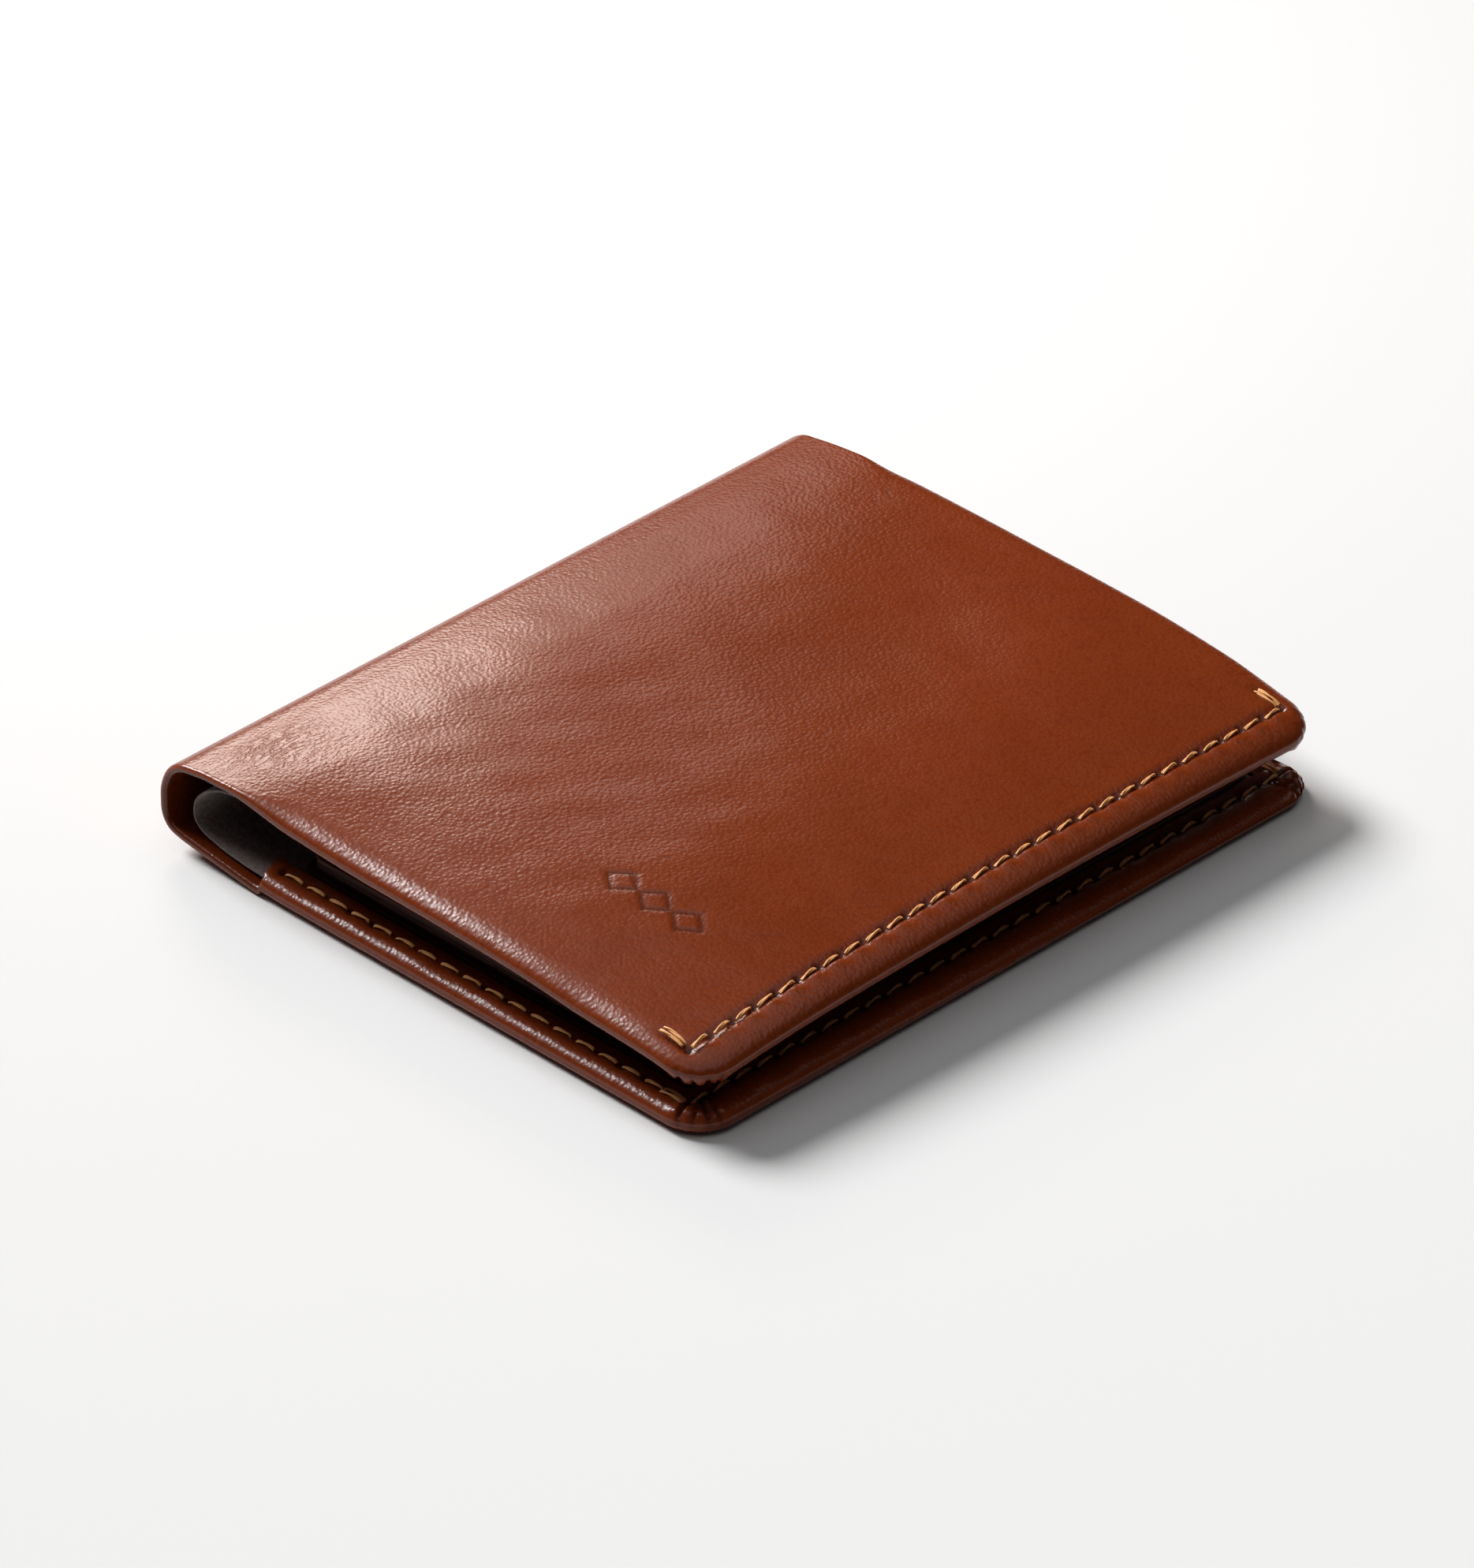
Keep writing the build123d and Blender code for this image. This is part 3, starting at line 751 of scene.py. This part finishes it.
def make_stage():
    material, tree, shader = nodes_of("pale_floor")
    shader.inputs["Base Color"].default_value = (0.66, 0.66, 0.66, 1)
    shader.inputs["Roughness"].default_value = 1.0
    shader.inputs["Specular IOR Level"].default_value = 0.0
    bpy.ops.mesh.primitive_plane_add(size=8, location=(0, 0, -0.00002))
    floor = bpy.context.object
    floor.name = "floor"
    floor.data.materials.append(material)
    world = bpy.data.worlds.new("studio")
    bpy.context.scene.world = world
    world.use_nodes = True
    background = world.node_tree.nodes["Background"]
    background.inputs["Color"].default_value = (1, 1, 1, 1)
    background.inputs["Strength"].default_value = 0.03


def soft_light(name, towards, energy, spread):
    """A broad soft source far away. towards points from the wallet to the light."""
    light = bpy.data.lights.new(name, "SUN")
    light.energy, light.angle = energy, math.radians(spread)
    lamp = bpy.data.objects.new(name, light)
    lamp.rotation_mode = "QUATERNION"
    lamp.rotation_quaternion = Vector(towards).to_track_quat("Z", "Y")
    bpy.context.scene.collection.objects.link(lamp)


def soft_box(name, place, target, power, size):
    """A near square lamp, whose reflection lies over the wallet's spine corner."""
    light = bpy.data.lights.new(name, "AREA")
    light.energy, light.size, light.color = power, size, (1.0, 0.87, 0.78)
    lamp = bpy.data.objects.new(name, light)
    lamp.location = place
    lamp.rotation_mode = "QUATERNION"
    lamp.rotation_quaternion = (Vector(place) - Vector(target)).to_track_quat("Z", "Y")
    bpy.context.scene.collection.objects.link(lamp)


def make_camera():
    azimuth, elevation, distance = math.radians(45.0), math.radians(33.27), 1.54
    back = Vector((math.sin(azimuth) * math.cos(elevation), -math.cos(azimuth) * math.cos(elevation),
                   math.sin(elevation)))
    right = Vector((math.cos(azimuth), math.sin(azimuth), 0))
    above = back.cross(right)
    centre = Vector((0.001, 0, 0.006))
    aim = centre - 0.00145 * right - 0.00071 * above
    data = bpy.data.cameras.new("camera")
    data.lens, data.sensor_width = 307.0, 36.0
    camera = bpy.data.objects.new("camera", data)
    camera.location = aim + back * distance
    camera.rotation_mode = "QUATERNION"
    camera.rotation_quaternion = back.to_track_quat("Z", "Y")
    bpy.context.scene.collection.objects.link(camera)
    bpy.context.scene.camera = camera


make_stage()
soft_light("key", (-0.76, -0.06, 0.63), 5.0, 26)
soft_light("top", (0.0, 0.0, 1.0), 0.75, 70)
soft_box("sheen_near", (-0.228, 0.09, 0.13), (-0.05, -0.05, 0.012), 0.25, 0.08)
soft_box("sheen_far", (-0.225, 0.165, 0.135), (-0.05, 0.04, 0.012), 0.05, 0.08)
make_camera()
bpy.context.scene.view_settings.view_transform = "Standard"
